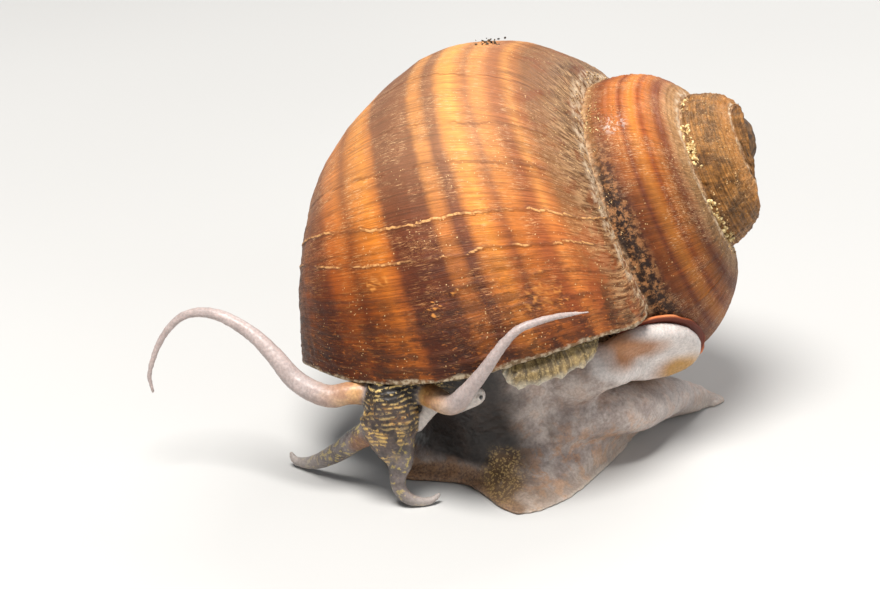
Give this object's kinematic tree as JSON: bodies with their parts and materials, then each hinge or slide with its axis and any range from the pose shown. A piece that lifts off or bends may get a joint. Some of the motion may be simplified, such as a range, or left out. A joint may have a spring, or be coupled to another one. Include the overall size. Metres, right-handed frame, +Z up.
{
  "type": "striped snail",
  "caption": "Life-size striped apple snail crawling on a broad foot, with a left-turning banded shell, long feelers, a short snout and its horny lid on the tail.",
  "frame": {"origin": "middle of the plan box, on the floor under the sole", "axes": "+X from the head's side along the shell towards its apex, +Z up, and the head and its open side towards -Y"},
  "size_m": [0.0512, 0.0408, 0.0324],
  "materials": {
    "shell": "satin horny skin over lime, amber with dark brown spiral bands",
    "worn_shell": "matt, eroded and dusted with mud",
    "horn": "satin horny plate, salmon at the rim",
    "foot_skin": "moist, fine-grained, lilac grey with rust flecks",
    "pale_skin": "moist, pale pinkish grey, a little translucent",
    "dark_skin": "moist, near black brown with rows of cream dashes",
    "eye": "wet, pale ring round a black pupil"
  },
  "bodies": {
    "root": {"shell_body_whorl": "shell", "shell_second_whorl": "shell", "shell_third_whorl": "worn_shell", "shell_apex": "worn_shell", "mantle_collar": "dark_skin", "mantle_flap": "foot_skin", "neck": "dark_skin", "head": "foot_skin", "palp_left": "foot_skin", "palp_right": "foot_skin", "tentacle_left_base": "pale_skin", "tentacle_left_middle": "pale_skin", "tentacle_left_tip": "pale_skin", "tentacle_right_base": "pale_skin", "tentacle_right_middle": "pale_skin", "tentacle_right_tip": "pale_skin", "eye_left": "eye", "eye_right": "eye", "eye_stalk_left": "pale_skin", "eye_stalk_right": "pale_skin", "foot_front": "foot_skin", "foot_middle": "foot_skin", "foot_tail": "foot_skin", "body_stem": "dark_skin", "operculum": "horn", "operculum_lobe": "pale_skin"}
  },
  "joints": []
}
